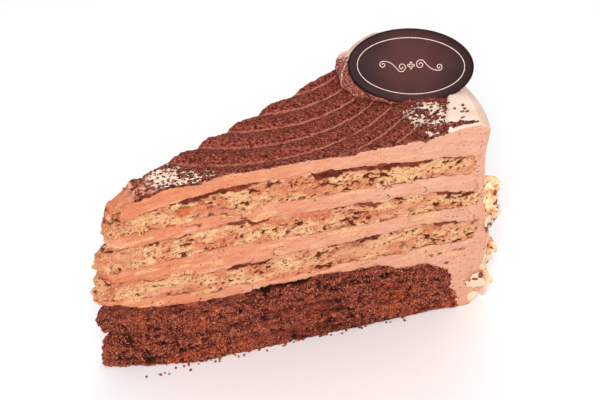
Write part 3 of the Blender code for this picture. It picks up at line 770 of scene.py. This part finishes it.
def coat_rings(top_steps=310, wall_steps=120, across=150, strip=18, inner=5):
    """Rings round the coat's own section, carried from the nose along the top, over the lip and down to
    the foot: the outer face, the back cut, the inner face, and the front cut. The outer face turns down at
    LIP_AT of the way. The inner face reaches the rim at INNER_RIM_AT and goes down from INNER_DOWN_AT."""
    way = np.concatenate([np.linspace(0, LIP_AT, top_steps, endpoint=False),
                          LIP_AT + (1 - LIP_AT) * np.linspace(0, 1, wall_steps) ** 1.25])[:, None]
    t = np.sin(np.linspace(-1, 1, across) * math.pi / 2 * 0.8) / math.sin(math.pi / 2 * 0.8)
    down = np.maximum(way - LIP_AT, 0) / (1 - LIP_AT)
    x, y = plan(np.minimum(way / LIP_AT, 1), t, CAKE_HEIGHT, COAT_NOSE_X, LIP_REACH)
    wall_z = top_height(x[-1:], y[-1:]) * (1 - down)
    wall_reach = smooth_profile(COAT_OUTSIDE, np.minimum(wall_z, COAT_OUTSIDE_TOP))
    wall = xyz(*plan(1.0, t, wall_z, COAT_NOSE_X, wall_reach), wall_z)
    over_lip = rise(down, 0, 0.02)[..., None]
    wall = xyz(x, y, wall_z) * (1 - over_lip) + wall * over_lip
    outer = np.where((way > LIP_AT)[..., None], wall, xyz(x, y, top_height(x, y)))

    under = boundary("sponge_3_top")
    side = np.linspace(1, -1, inner)
    inner_u = np.minimum(way / INNER_RIM_AT, 1)
    inner_z = under(INNER_RIM_X, 0.0) + 0 * inner_u * side
    for _ in range(3):
        inner_x, inner_y = plan(inner_u, side, inner_z, COAT_NOSE_X, coat_reach(inner_z))
        inner_z = under(inner_x, inner_y)
    inner_z = inner_z * (1 - np.clip((way - INNER_DOWN_AT) / (1 - INNER_DOWN_AT), 0, 1))
    lower = plan(1.0, side, inner_z, COAT_NOSE_X, coat_reach(inner_z) + torn_edge(inner_z, 87))
    on_rim = (way > INNER_LIP_AT)[..., None]
    inside = np.where(on_rim, xyz(*lower, inner_z), xyz(inner_x, inner_y, inner_z))

    share = np.linspace(0, 1, strip + 2)[1:-1][None, :, None]
    back = outer[:, -1:] * (1 - share) + inside[:, :1] * share
    front = inside[:, -1:] * (1 - share) + outer[:, :1] * share
    depth = np.linalg.norm(inside[:, :1] - outer[:, -1:], axis=-1, keepdims=True)
    for cut, side_sign, covered in ((back, 1, share), (front, -1, 1 - share)):
        push = (0.12 + drawn(cut)) * rise((covered * depth)[..., 0], 0, 0.8)
        push = push + fading(cut[..., 0], -4, 5) * 0.8 * noise(cut, (3, 3, 2), 25)
        cut[..., 0] += -math.sin(HALF_ANGLE) * push
        cut[..., 1] += side_sign * math.cos(HALF_ANGLE) * push
    swept = 0.35 * noise(outer, (14, 14, 5), 81, 2) + 0.12 * noise(outer, (7, 7, 1.2), 83)
    outer[..., 0] += swept * rise(down, 0.04, 0.12) * rise(1 - np.abs(t), 0, 0.05)
    rings = np.concatenate([outer, back, inside, front], 1)
    x, y, z = rings[..., 0], rings[..., 1], rings[..., 2]
    on_outer = np.arange(rings.shape[1]) < across
    top = (1 - rise(down, 0.0, 0.02)) * on_outer
    spill = rise(0.45 + 0.5 * noise(rings, (1.8, 1.8, 1.0), 85, 2) - (top_height(x, y) - z), -0.2, 0.2)
    face = np.where(on_outer, 1 - rise(down, 0.0, 0.03), 1)
    return rings, {"cocoa": cocoa_cover(x, y) * np.maximum(top, spill * (z > 55)),
                   "cut": np.maximum(face - top, rise(x, 7, 3))}


def coat_look():
    """Salmon cream where it is cut, pale cream on the top and rim, and cocoa over it: ripples from dark to
    light reddish brown as painted shade in their troughs and painted light on their crests, with small
    painted highlights, and a thin lighter line in each valley of the comb, partly cream bared by the comb
    and partly a painted highlight on its burr."""
    look, place = new_look("cream_coat")
    cut_cream, lines, x = cream_colour(place)
    pale = place.grain(8).rise(0.35, 0.7).mix((244, 222, 206), (236, 204, 182))
    tip_cream = place.grain(2.0).rise(0.45, 0.62).mix((178, 104, 80), (218, 156, 128))
    pale = overlaid(x.rise(10, 16).mix(tip_cream, pale), (place.grain(0.4).rise(0.4, 0.25), (206, 156, 128)))

    flat = place.vector("MULTIPLY", place, (1, 1, 0))
    from_pivot = flat.vector("DISTANCE", flat, (*COMB_PIVOT, 0), output=1)
    turns = COMB_FIRST - from_pivot / COMB_SPACING - x / COMB_DRIFT
    part = turns.math("FRACT", turns)
    from_valley = part.math("MINIMUM", part, 1 - part)
    combed = x.rise(14, 30) * (1 - x.rise(98, 104))
    line = from_valley.rise(0.034, 0.01) * combed * place.grain(4).rise(0.25, 0.5)
    sideways = place.turned(-COCOA_DRIFT)
    ripples = sideways.bent(1.6, 0.5).squeezed(2.2, 1, 1.5).grain(0.5, 3, 0.6)
    fine = place.grain(0.3)
    sugar = place.spots(1.7).rise(0.09, 0.05)
    cocoa = overlaid(
        # Painted light and shade on the cocoa: dark in the troughs of the ripples, lighter on their crests,
        # and small painted highlights where the fine grain and the ripples are high.
        ripples.rise(0.36, 0.6).mix((74, 17, 9), (152, 67, 50)),
        (fine.rise(0.5, 0.67) * ripples.rise(0.45, 0.6), (216, 138, 116)),
        (fine.rise(0.44, 0.27), (54, 12, 6)),
        # A lighter line in each comb valley: partly cream bared by the comb, partly a painted highlight on
        # the burr.
        (line * (x.rise(40, 95) * 0.4 + 0.35), (216, 140, 118)),
        (sugar * 0.7, (236, 190, 172)))
    ragged = sideways.bent(0.9, 0.35).squeezed(1.5, 1).grain(0.85, 3, 0.6)
    cover = (place.mark("cocoa") + (ragged - 0.5) * 2.2).rise(0.46, 0.52)
    base = overlaid(cut_cream, (1 - place.mark("cut"), pale), (cover, cocoa))
    bump = cover * (ripples * 1.2 + fine * 0.6 + 0.3)
    bump = bump + (1 - cover) * (lines * 0.35 + place.grain(0.8) * 0.2)
    return finish_look(look, base, cover * 0.35 + 0.5, bump, 0.45, 0.15)


coat_body, coat_marks = coat_rings()
add_rings("cream_coat_body", coat_body, coat_look(), coat_marks, ["cream_coat"], "cream")


# Nut flakes: shavings of blanched nut, some with brown skin, pressed by hand into the cream of the lower
# rim. The large ones are those of the solid, and smaller chips and heaps of shards lie between them.
FLAKE_SIDES = 7
FLAKE_COUNT = 54
CHIP_COUNT = 420
CHIP_SUNK = 0.25
CHIP_THICKNESS_SHARE = 0.35
SHARD_THICKNESS = 0.45
FOOT_HEIGHT = 16
# Height, place across the rim and tilt of the flakes at the near corner.
CORNER_FLAKES = ((45, -0.97, 0.7), (39, -0.9, 0.9), (41.5, -1.0, 0.6), (34, -0.95, -0.8), (10, -0.96, 0.8),
                 (5.5, -0.9, 0.5), (15.5, -0.93, -0.7), (24, -0.97, 0.4))
CORNER_FLAKE_LENGTH = 4.6
CORNER_FLAKE_OUT = 0.2
FLAKE_SUNK = 0.45
FLAKE_THICKNESS = 0.9
FLAKE_NARROW = 0.7
FLAKE_BEND = 16
FLAKE_APART = 4.6
RIM_HALF_WIDTH = 28
# Rings of a flake from one face round the edge to the other: share of its outline, share of its thickness.
FLAKE_LEVELS = ((0.4, 0), (0.85, 0), (0.98, 0.08), (1, 0.35), (0.95, 0.75), (0.85, 1), (0.4, 1))
# Height and spread of the heaps of shards at the near corner, the last of them at its foot.
HEAPS = ((42, 3.5), (42, 3.5), (41, 4.5), (41, 4.0), (10, 3.6))
HEAP_SHARDS = 7
# The shards' tilt, place across the rim, way in or out, and length, above and at the foot.
UPPER_SHARDS = ((-1.5, -0.3), (-1, -0.9), (-0.3, 2.4), (1.5, 4.2))
LOWER_SHARDS = ((-2.0, -1.2), (-1.04, -1.0), (-0.3, 5.0), (1.5, 3.4))


def round_angles(count):
    """This many angles, evenly round a turn."""
    return np.linspace(0, math.tau, count, endpoint=False)


def on_oval(angle, half_width, half_height):
    """Points of a plane at these angles round an oval."""
    return np.stack(np.broadcast_arrays(half_width * np.cos(angle), half_height * np.sin(angle)), -1)


def flake_places(random, count):
    """Height, place across the rim, tilt, length and depth in the cream: the corner flakes, then the rest,
    each kept apart from those before."""
    places = [(z, t, tilt, CORNER_FLAKE_LENGTH, -CORNER_FLAKE_OUT) for z, t, tilt in CORNER_FLAKES]
    while len(places) < count:
        t = random.uniform(-0.86, 0.93)
        z = random.uniform(5, 47)
        if all(math.hypot((t - other[1]) * RIM_HALF_WIDTH, z - other[0]) > FLAKE_APART for other in places):
            tilt = random.uniform(-0.4, 0.4)
            places.append((z, t, tilt, random.uniform(2.4, 4.2), FLAKE_SUNK))
    return places


def flake_rings(random, z, t, tilt, length, sunk, thickness):
    """One flake: a disc with seven uneven sides, bent like a shaving, its edge rounded and its faces
    rough, turned flat against the rim."""
    spin = random.uniform(0, math.tau)
    first = random.uniform(0, 1)
    corner_reach = length * random.uniform(0.8, 1.1, FLAKE_SIDES)
    outline = on_oval(round_angles(FLAKE_SIDES) + first, corner_reach, FLAKE_NARROW * corner_reach)
    share = np.linspace(0, 1, 4, endpoint=False)[None, :, None]
    outline = (outline[:, None] * (1 - share) + np.roll(outline, -1, 0)[:, None] * share).reshape(-1, 2)
    levels = np.array(FLAKE_LEVELS)
    flat = outline * levels[:, :1, None]
    disc = raised(flat, flat[..., 0] ** 2 / FLAKE_BEND + thickness * levels[:, 1:])
    disc[..., 2] += 0.25 * thickness * noise(disc + 40 * length, 1.4, 91)
    facing = math.atan2(2 * RIM_BOW * t, RIM_HALF_WIDTH)
    turn = Matrix.Rotation(facing + tilt, 3, "Z") @ Matrix.Rotation(math.pi / 2, 3, "Y")
    turn = turn @ Matrix.Rotation(spin, 3, "Z")
    return disc @ np.array(turn).T + xyz(*plan(1.0, t, z, 0, smooth_profile(COAT_OUTSIDE, z) - sunk), z)


def nut_look():
    """Pale nut, yellow to white, orange in spots, with brown skin on some flakes."""
    look, place = new_look("nut_flakes")
    tone = place.mark("tone")
    soft = place.bent(1.5, 0.6).grain(1.6)
    base = overlaid(
        soft.rise(0.35, 0.7).mix((248, 226, 188), (236, 186, 134)),
        (tone.rise(0.5, 0.62), (236, 196, 172)),
        (tone.rise(0.3, 0.2) * place.grain(2.5, 1).rise(0.45, 0.6), (226, 134, 66)),
        ((tone.rise(0.74, 0.8) * 0.12 + place.grain(2.8, 1)).rise(0.61, 0.65), (122, 60, 44)),
        (place.grain(0.5).rise(0.68, 0.76), (196, 120, 74)))
    return finish_look(look, base, 0.55, place.grain(0.7, 3), 0.15, 0.35)


draw = np.random.default_rng(10)
flakes = [flake_rings(draw, *place, FLAKE_THICKNESS) for place in flake_places(draw, FLAKE_COUNT)]
for _ in range(CHIP_COUNT):
    t = draw.uniform(-0.97, 0.96)
    z = 2 + 47 * draw.uniform() ** 1.1
    length = draw.uniform(0.5, 1.7)
    chip = (z, t, draw.uniform(-0.5, 0.5), length, CHIP_SUNK, CHIP_THICKNESS_SHARE * length)
    flakes.append(flake_rings(draw, *chip))
for heap_z, spread in HEAPS:
    for _ in range(HEAP_SHARDS):
        z = max(2.5, draw.normal(heap_z, spread))
        low = z < FOOT_HEIGHT
        tilt, t, way, length = (draw.uniform(*ends) for ends in (LOWER_SHARDS if low else UPPER_SHARDS))
        flakes.append(flake_rings(draw, z, t, tilt, length, way if low else -way, SHARD_THICKNESS))
flakes = np.array(flakes)
flakes[..., 2] = np.maximum(flakes[..., 2], 0.05)
flake_tone = draw.uniform(0, 1, len(flakes))[:, None, None]
flake_tone[-HEAP_SHARDS:] = 0.55 + 0.3 * flake_tone[-HEAP_SHARDS:]
add_rings("nut_flakes", flakes, nut_look(), {"tone": flake_tone}, ["cream_coat"], "cream")


# Rosette: one turn of chocolate cream from a star nozzle on the rim, dusted with the rest of the top, so
# that cocoa lies on its ridges and the sheltered side stays bare.
ROSETTE_FLUTES = 7
ROSETTE_FLUTE_DEPTH = 0.16
ROSETTE_FLUTE_MIDDLE = 0.75
ROSETTE_TWIST = math.radians(60)
ROSETTE_TWIST_HEIGHT = 12.2
ROSETTE_FIRST_LOBE = math.radians(-170)
SHELTERED_SIDE = math.radians(72)
# Heights on the rosette, and its radius there.
ROSETTE_PROFILE = ((0, 15.0), (1.6, 16.3), (3.4, 15.9), (5.4, 14.0), (7.6, 12.2), (9.6, 10.2), (11.2, 7.4),
                   (12.2, 4.0), (12.8, 0.2))
PLAQUE_FOOT = (102.4, -4.7)
PLAQUE_HALF_LENGTH = 19.8
PLAQUE_HALF_HEIGHT = 11.8
PLAQUE_THICKNESS = 2.4
PLAQUE_SINK = 1.0
PLAQUE_TURN = math.radians(-33.2)
PLAQUE_LEAN = math.radians(36.5)

plaque_turn = np.array(Matrix.Rotation(PLAQUE_TURN, 3, "Z")
                       @ Matrix.Rotation(math.pi / 2 - PLAQUE_LEAN, 3, "X"))
foot_z = float(top_form(*np.array(PLAQUE_FOOT))) - PLAQUE_SINK
plaque_middle = np.array([*PLAQUE_FOOT, foot_z]) + plaque_turn @ (0, PLAQUE_HALF_HEIGHT, 0)


def from_plaque(points):
    """From the plaque's own frame, x along it, y up it and z out of its face, to the slice."""
    return points @ plaque_turn.T + plaque_middle


def pressed_by_plaque(points):
    """Cream that stood where the plaque is, moved back to the plane of the plaque's back."""
    own = (points - plaque_middle) @ plaque_turn
    reach = np.hypot(own[..., 0] / (PLAQUE_HALF_LENGTH + 0.1), own[..., 1] / (PLAQUE_HALF_HEIGHT + 0.1))
    back = -PLAQUE_THICKNESS - 0.05
    own[..., 2] = np.where((reach < 1) & (own[..., 2] > back), back, own[..., 2])
    return from_plaque(own)


def rosette_rings(levels=76, around=330):
    """A dome with seven flutes that wind upwards, lobes round and creases sharp, its skin roughened."""
    lift = ROSETTE_PROFILE[-1][0] * (1 - (1 - np.linspace(0, 1, levels)) ** 2)[:, None]
    angle = round_angles(around)
    twist = ROSETTE_TWIST * lift / ROSETTE_TWIST_HEIGHT
    lobes = np.abs(np.cos(ROSETTE_FLUTES * (angle - ROSETTE_FIRST_LOBE + twist) / 2))
    radius = smooth_profile(ROSETTE_PROFILE, lift, 0.5)
    radius = radius * (1 + ROSETTE_FLUTE_DEPTH * (lobes - ROSETTE_FLUTE_MIDDLE))
    ridged = raised(on_oval(angle, 8, 8), lift)
    rough = 0.35 * noise(ridged, (3, 3, 1.2), 93, 2) + 0.2 * noise(ridged, 0.6, 95)
    radius = radius + rough * rise(radius, 0, 3)
    x = ROSETTE_CENTRE[0] + radius * np.cos(angle)
    y = ROSETTE_CENTRE[1] + radius * np.sin(angle)
    points = xyz(x, y, top_form(x, y) - 0.1 + lift)
    sheltered = rise(np.cos(angle - SHELTERED_SIDE), 0.35, 0.8)
    cocoa = 0.8 - 0.85 * sheltered + 0.12 * noise(points, 3, 97) - 0.5 * rise(lobes, 0.985, 1)
    return pressed_by_plaque(points), {"cocoa": cocoa}


def rosette_look():
    """Pale to orange-brown cream under grains of cocoa, the cocoa with painted shade in the troughs of its
    ripples, painted light on their crests and small painted highlights.
    """
    look, place = new_look("rosette_cream")
    soft = place.bent(2, 0.8).grain(2.2, 3)
    fine = place.grain(0.4)
    ripples = place.bent(0.8, 0.3).grain(0.9, 3, 0.6)
    height = place.node("ShaderNodeSeparateXYZ", {}, {"Vector": place}, 2)
    low_part = (height + soft * 6).rise(78, 75)
    cocoa = overlaid(
        # Painted light and shade on the cocoa: dark in the troughs of the ripples, lighter on their crests,
        # and small painted highlights.
        ripples.rise(0.38, 0.62).mix((86, 26, 16), (158, 80, 64)),
        (fine.rise(0.52, 0.68), (220, 152, 130)))
    cover = (place.mark("cocoa") + (ripples - 0.5) * 1.5).rise(0.4, 0.52)
    base = overlaid(
        soft.rise(0.4, 0.65).mix((240, 210, 194), (226, 172, 146)),
        (low_part, (200, 116, 74)), (cover, cocoa))
    return finish_look(look, base, 0.7, ripples + fine * 0.5, 0.4)


rosette, rosette_marks = rosette_rings()
add_rings("piped_rosette", rosette, rosette_look(), rosette_marks, ["rosette"], "rosette_cream")


# Plaque: an oval of dark chocolate, cast in a mould and stood in the cream. A fine line and a plain
# scroll were printed on its face in cream-coloured cocoa butter.
LINE_HALF_LENGTH = 16.8
LINE_HALF_HEIGHT = 8.8
LINE_WIDTH = 0.27
LINE_HEIGHT = 0.08
# From the middle of the plaque's back or face to its edge: insets from the edge, and depths below.
PLAQUE_BEVEL = ((10.5, 0), (6, 0), (2, 0), (0.6, 0), (0.3, 0.06), (0.06, 0.3), (0, 0.6))


def plaque_rings(around=180):
    """The oval's outline carried from the middle of its back, round both bevelled edges, to the middle of
    its face."""
    inset, depth = np.array(PLAQUE_BEVEL).T
    height = np.concatenate([depth - PLAQUE_THICKNESS, -depth[::-1]])[:, None]
    inset = np.concatenate([inset, inset[::-1]])[:, None]
    flat = on_oval(round_angles(around), PLAQUE_HALF_LENGTH - inset, PLAQUE_HALF_HEIGHT - inset)
    return from_plaque(raised(flat, height))


def chocolate_look():
    """Dark chocolate, satin, with a painted sheen, lighter and redder in its middle and darker to its edge,
    and the faint bloom of a cast face.
    """
    look, place = new_look("plaque_chocolate")
    from_middle = place.vector("DISTANCE", place, tuple(plaque_middle), output=1)
    cloud = place.grain(6, 3)
    # Painted sheen: lighter and redder in the middle of the face, darker towards the edge.
    base = (from_middle / 20 + cloud * 0.4).rise(0.3, 1.05).mix((80, 35, 33), (42, 12, 15))
    return finish_look(look, base, cloud * 0.12 + 0.4, place.grain(1.5), 0.03, 0.1)


def icing_line(path, looped=False):
    """A raised line along a path on the plaque's face: a low half round, its foot sunk in the chocolate."""
    ahead = np.roll(path, -1, 0) - np.roll(path, 1, 0) if looped else np.gradient(path, axis=0)
    side = np.stack([-ahead[:, 1], ahead[:, 0]], -1) / np.linalg.norm(ahead, axis=1, keepdims=True)
    bend = round_angles(8)
    flat = path[:, None] + side[:, None] * (LINE_WIDTH / 2 * np.cos(bend))[None, :, None]
    return from_plaque(raised(flat, LINE_HEIGHT * np.sin(bend)))


def curl(eye, first, turns, small, large):
    """A spiral round its eye, from a small radius to a large one."""
    way = np.linspace(0, 1, 60)
    radius = small + (large - small) * way
    return np.array(eye) + on_oval(first + math.tau * turns * way, radius, radius)


def scroll(side):
    """Half of the ornament: a curl near the middle that runs out in a wave to a smaller curl, turned the
    other way."""
    inner = curl((2.9, 0.5), math.radians(200), -1.4, 0.25, 1.5)
    outer = curl((8.8, -0.1), math.radians(20), -1.3, 0.2, 1.1)[::-1]
    run = np.linspace(0, 1, 30)[1:-1, None]
    bow = np.array([0.0, -0.9]) * np.sin(math.pi * run)
    return np.concatenate([inner, inner[-1] * (1 - run) + outer[0] * run + bow, outer]) * side


def icing_look():
    """Cream-coloured cocoa butter, slightly uneven in tone."""
    look, place = new_look("icing_line")
    base = place.grain(0.8).rise(0.35, 0.65).mix((240, 218, 204), (222, 190, 172))
    return finish_look(look, base, 0.5, place.grain(0.5), 0.02)


on_plaque = (["plaque"], "plaque_chocolate")
add_rings("chocolate_plaque", plaque_rings(), chocolate_look(), {}, *on_plaque)
icing = icing_look()
oval = on_oval(round_angles(220), LINE_HALF_LENGTH, LINE_HALF_HEIGHT)
add_rings("plaque_line", icing_line(oval, looped=True), icing, {}, *on_plaque, looped=True)
scrolls = np.array([icing_line(scroll(side)) for side in (1, -1)])
add_rings("plaque_scrolls", scrolls, icing, {}, *on_plaque)
petal_angle = round_angles(90)
petal_reach = 0.75 + 0.35 * np.cos(4 * petal_angle)
flower = on_oval(petal_angle, petal_reach, petal_reach) + (0, 0.1)
add_rings("plaque_flower", icing_line(flower, looped=True), icing, {}, *on_plaque, looped=True)


# Cocoa crumbs and cake crumbs: lumps of cocoa that lie on the top's edges and thin places, and crumbs of
# the sponges that stick to their torn faces or fell at the foot of the front cut.
COCOA_CRUMBS = 5200
PATCH_FLECKS = 130
BAND_FLECKS = 9
TIP_CRUMBS = 420
CUT_CRUMBS = 500
FALLEN_CRUMBS = 46
LIGHT_CRUMBS = 130


def pebbles(places, sizes, seed, rings=5, around=8):
    """Small uneven lumps: each a sphere of a few rings, bulged by noise and stretched by its sizes."""
    lower = np.linspace(0, math.pi, rings + 2)[1:-1, None]
    ball = raised(on_oval(round_angles(around), np.sin(lower), np.sin(lower)), np.cos(lower))
    bodies = ball + 37.7 * np.arange(len(places))[:, None, None, None] * np.array([1.0, 0.0, 0.3])
    bulged = ball * (1 + 0.45 * noise(bodies, 0.9, seed))[..., None]
    return places[:, None, None] + bulged * sizes[:, None, None]


def crumb_look(name, dark, light, size=0.7, detail=3, low=0.35, high=0.65, depth=0.15, gloss=0.15):
    """Crumb or cocoa, grained from its dark to its light colour."""
    look, place = new_look(name)
    base = place.grain(size, detail).rise(low, high).mix(dark, light)
    return finish_look(look, base, 0.85, place.grain(0.3), depth, gloss)


def crumbs_on(surface, wanted, count):
    """Crumbs stuck on a sponge: their middles are chance points of its skin where they are wanted."""
    chosen = surface[wanted]
    return chosen[draw.integers(0, len(chosen), count)]


draw = np.random.default_rng(21)
u, t = draw.uniform(0, 1, COCOA_CRUMBS), draw.uniform(-1, 1, COCOA_CRUMBS)
at_edge = draw.uniform(0, 1, COCOA_CRUMBS) < 0.45
x, y = plan(u, np.where(at_edge, -1 + 0.06 * np.abs(t), t), CAKE_HEIGHT, COAT_NOSE_X, LIP_REACH)
cover = cocoa_cover(x, y)
wanted = np.where(at_edge, 0.9, np.where(cover > 0.85, 0.12, 1.3 * cover))
kept = (draw.uniform(0, 1, COCOA_CRUMBS) < wanted) & (cover > 0.05) & (from_rosette(x, y) > 15)
x, y = x[kept], y[kept]
places = xyz(x, y, top_height(x, y) + 0.05)
sizes = draw.uniform(0.18, 0.5, (len(x), 3)) * (1.15, 0.9, 0.5)
cocoa_look = crumb_look("cocoa_crumbs", (70, 20, 12), (146, 76, 58), 1.1, 2, 0.4, 0.62, 0.1, 0.3)
add_rings("cocoa_crumbs", pebbles(places, sizes, 23), cocoa_look, {}, ["cream_coat"], "cream")

x, y = (FLECKED_PATCH + draw.normal(0, 4.2, (PATCH_FLECKS, 2))).T
in_patch = inside_band(x, y) < -0.5
x = np.concatenate([x[in_patch], draw.normal(110.5, 1.6, BAND_FLECKS)])
y = np.concatenate([y[in_patch], draw.normal(-19.0, 2.4, BAND_FLECKS)])
on_top = (past_cut(x, y) < -0.5) & (x < 114) & (from_rosette(x, y) > 16)
x, y = x[on_top], y[on_top]
places = xyz(x, y, top_height(x, y) + 0.1)
sizes = draw.uniform(0.35, 0.85, (len(x), 3)) * (1.1, 0.8, 0.45)
add_rings("cocoa_flecks", pebbles(places, sizes, 27), cocoa_look, {}, ["cream_coat"], "cream")

skin = base_rings.reshape(-1, 3)
x, y, off_floor = skin[:, 0], skin[:, 1], skin[:, 2] > 0.3
tip_crumbs = crumbs_on(skin, (x < 16) & off_floor, TIP_CRUMBS)
cut_crumbs = crumbs_on(skin, (y < 0) & off_floor & (x < 112), CUT_CRUMBS)
x = draw.uniform(6, 96, FALLEN_CRUMBS)
y = -np.hypot(x * CUT_SLOPE, NOSE_RADIUS) - np.abs(draw.normal(0, 0.9, FALLEN_CRUMBS))
places = np.concatenate([tip_crumbs, cut_crumbs, xyz(x, y + 0.4, 0)])
sizes = draw.uniform(0.2, 0.55, (len(places), 3))
places[:, 2] = np.maximum(places[:, 2], 0.6 * sizes[:, 2])
dark_look = crumb_look("dark_crumbs", (74, 24, 14), (180, 98, 74))
add_rings("dark_crumbs", pebbles(places, sizes, 29), dark_look, {}, ["sponge_base"], "dark_sponge")
for number, skin in enumerate(light_walls, start=1):
    near_tip = (skin[:, 0] < 10) & (skin[:, 2] > skin[:, 2].min() + 1.5)
    places = crumbs_on(skin, near_tip, LIGHT_CRUMBS)
    sizes = draw.uniform(0.2, 0.5, (LIGHT_CRUMBS, 3))
    name = f"light_crumbs_{number}"
    look = crumb_look(name, (186, 110, 68), (230, 178, 128))
    add_rings(name, pebbles(places, sizes, 30 + number), look, {}, [f"sponge_{number}"], "light_sponge")


# Stage: a pale table top, a wide soft light from the front left and above, a weaker one from the right,
# and light from all round, as in a bright studio. The camera stands where the photograph was taken.
CAMERA_AZIMUTH = math.radians(-34.324)
CAMERA_ELEVATION = math.radians(36.5)
CAMERA_ROLL = math.radians(1.934)
CAMERA_DISTANCE = 497.516
CAMERA_LENS = 95.10
CAMERA_TARGET = np.array([65.156, 0, 44.136])
FLOOR_HALF = 2.5

floor_mesh = bpy.data.meshes.new("table_top")
floor_corners = [(x * FLOOR_HALF, y * FLOOR_HALF, 0) for x, y in ((-1, -1), (1, -1), (1, 1), (-1, 1))]
floor_mesh.from_pydata(floor_corners, [], [(0, 1, 2, 3)])
table_top = bpy.data.objects.new("table_top", floor_mesh)
bpy.context.scene.collection.objects.link(table_top)
floor_look, floor_place = new_look("table_top")
# Painted shadow and pink bounce light: the table top is a little darker and pinker near the slice.
from_slice = floor_place.vector("DISTANCE", floor_place, (55, -40, 0), output=1)
painted_floor_shadow = (from_slice + floor_place.grain(40, 1) * 20).rise(30, 110)
floor_colour = painted_floor_shadow.mix((244, 236, 236), (251, 251, 251))
finish_look(floor_look, floor_colour, 0.6, floor_place.grain(30, 1), 0.02, 0.2)
floor_mesh.materials.append(floor_look)


def soft_light(name, place, size, power):
    """A square area light that looks at the middle of the slice."""
    lamp = bpy.data.lights.new(name, "AREA")
    lamp.size, lamp.energy = size, power
    held = bpy.data.objects.new(name, lamp)
    held.location = place
    held.rotation_euler = (Vector((0, 0, 0.03)) - held.location).to_track_quat("-Z", "Y").to_euler()
    bpy.context.scene.collection.objects.link(held)


soft_light("key_light", Vector((-0.52, -0.7, 0.8)), 0.45, 11.0)
soft_light("side_light", Vector((0.6, 0.5, 0.9)), 0.8, 2.5)
world = bpy.data.worlds.new("studio")
world.use_nodes = True
world.node_tree.nodes["Background"].inputs["Color"].default_value = (1.0, 1.0, 1.0, 1)
world.node_tree.nodes["Background"].inputs["Strength"].default_value = 0.55
bpy.context.scene.world = world
bpy.context.scene.view_settings.view_transform = "Standard"

facing = Matrix.Rotation(CAMERA_AZIMUTH, 4, "Z") @ Matrix.Rotation(math.pi / 2 - CAMERA_ELEVATION, 4, "X")
facing = facing @ Matrix.Rotation(CAMERA_ROLL, 4, "Z")
lens = bpy.data.cameras.new("camera")
lens.lens, lens.sensor_width, lens.clip_start = CAMERA_LENS, 36.0, 0.01
camera = bpy.data.objects.new("camera", lens)
eye = Vector((CAMERA_TARGET + TIP_PLACE) * MM) + facing.col[2].to_3d() * CAMERA_DISTANCE * MM
camera.matrix_world = Matrix.Translation(eye) @ facing
bpy.context.scene.collection.objects.link(camera)
bpy.context.scene.camera = camera
